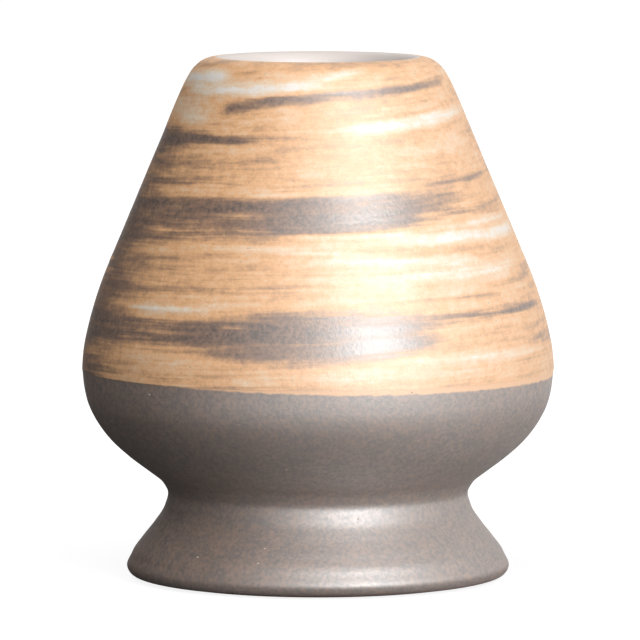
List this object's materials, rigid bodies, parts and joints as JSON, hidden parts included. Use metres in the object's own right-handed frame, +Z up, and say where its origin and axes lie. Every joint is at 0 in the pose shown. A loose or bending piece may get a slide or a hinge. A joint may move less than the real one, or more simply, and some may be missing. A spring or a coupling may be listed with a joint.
{
  "type": "tea whisk holder",
  "caption": "Hollow stoneware stand for drying a bamboo tea whisk: a pear-shaped bulb with an open mouth on a flared foot, dark glazed below and brushed with tan slip above.",
  "frame": {"origin": "on the axis of turning, on the surface that the foot stands on", "axes": "+Z up along the axis of turning, from the foot to the mouth; the form is round, so X and Y are alike, and the picture looks along +Y"},
  "size_m": [0.0634, 0.0634, 0.07],
  "materials": {
    "stoneware": "bare fired stoneware, matt and slightly gritty, reddish brown",
    "brushed_slip": "satin glaze over a tan slip brushed round in streaks, with dark gaps and pale ridges, and a pale band over the lip",
    "dark_glaze": "satin dark brown-grey glaze with a soft sheen, finely speckled",
    "liner_glaze": "thin dark brown-grey glaze over the finger rings of the inside, less glossy than outside"
  },
  "bodies": {
    "root": {"bulb": "stoneware", "foot": "stoneware", "brushed_slip_coat": "brushed_slip", "dark_glaze_coat": "dark_glaze", "liner_glaze_coat": "liner_glaze"}
  },
  "joints": []
}
